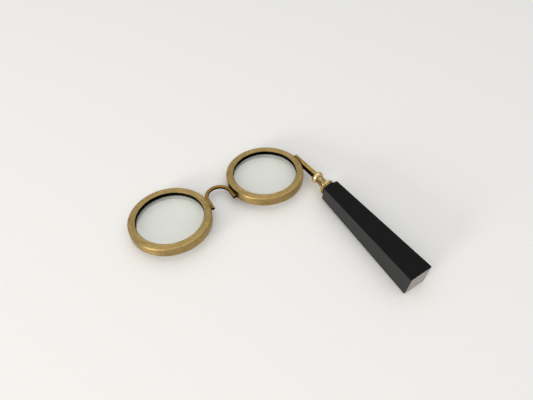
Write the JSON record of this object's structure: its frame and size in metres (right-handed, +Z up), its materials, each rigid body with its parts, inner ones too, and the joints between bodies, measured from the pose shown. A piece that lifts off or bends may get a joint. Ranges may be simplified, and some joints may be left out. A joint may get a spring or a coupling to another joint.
{
  "type": "lorgnette magnifier",
  "caption": "Lorgnette magnifier: paired round brass rims with convex lenses, a bowed nose bridge and a tapered square side handle.",
  "frame": {"origin": "centre of the footprint of the resting object, at table height", "axes": "+Z up from the table, +Y from the handle's butt towards the lenses, +X from the left lens towards the handle side"},
  "size_m": [0.127, 0.1362, 0.0156],
  "materials": {
    "antique_brass": "satin antique, darkened in the recesses",
    "polished_brass": "polished, lightly aged",
    "plain_brass": "turned",
    "black_metal": "matt black",
    "lens_glass": "polished",
    "pale_rubber": "matt",
    "white_metal": "turned, bright",
    "steel": "threaded, plain",
    "black_fibre": "matt",
    "black_handle": "black stained, waxed"
  },
  "bodies": {
    "lens_frame": {"left_rim": "antique_brass", "left_spacer": "black_metal", "left_lens": "lens_glass", "right_rim": "antique_brass", "right_spacer": "black_metal", "right_lens": "lens_glass", "nose_bridge": "antique_brass", "side_arm": "antique_brass", "ferrule": "polished_brass", "handle_stud": "steel"},
    "handle_washer": {"handle_washer": "black_fibre"},
    "handle": {"handle": "black_handle", "handle_insert": "plain_brass"},
    "left_gasket": {"left_gasket": "pale_rubber"},
    "left_retaining_ring": {"left_retaining_ring": "white_metal"},
    "right_gasket": {"right_gasket": "pale_rubber"},
    "right_retaining_ring": {"right_retaining_ring": "white_metal"}
  },
  "joints": [
    {"name": "handle_travel", "type": "slide", "parent": "lens_frame", "child": "handle_washer", "axis": [0, -1, -0.0012], "range_m": [0, 0.00635]},
    {"name": "handle_unscrew", "type": "hinge", "parent": "handle_washer", "child": "handle", "pos_m": [0.05573, 0.00977, 0.00787], "axis": [0, -1, -0.0012], "range_deg": [0, 2160]},
    {"name": "left_ring_travel", "type": "slide", "parent": "lens_frame", "child": "left_gasket", "axis": [0, -0.1068, -0.9943], "range_m": [0, 0.0014]},
    {"name": "left_ring_unscrew", "type": "hinge", "parent": "left_gasket", "child": "left_retaining_ring", "pos_m": [-0.03852, 0.04273, 0.00261], "axis": [0, -0.1068, -0.9943], "range_deg": [0, 720]},
    {"name": "right_ring_travel", "type": "slide", "parent": "lens_frame", "child": "right_gasket", "axis": [0, -0.1068, -0.9943], "range_m": [0, 0.0014]},
    {"name": "right_ring_unscrew", "type": "hinge", "parent": "right_gasket", "child": "right_retaining_ring", "pos_m": [0.02938, 0.04273, 0.00261], "axis": [0, -0.1068, -0.9943], "range_deg": [0, 720]}
  ],
  "couplings": [
    {"joint": "handle_travel", "follows": "handle_unscrew", "m_per_rad": 0.00016844},
    {"joint": "left_ring_travel", "follows": "left_ring_unscrew", "m_per_rad": 0.00011141},
    {"joint": "right_ring_travel", "follows": "right_ring_unscrew", "m_per_rad": 0.00011141}
  ]
}
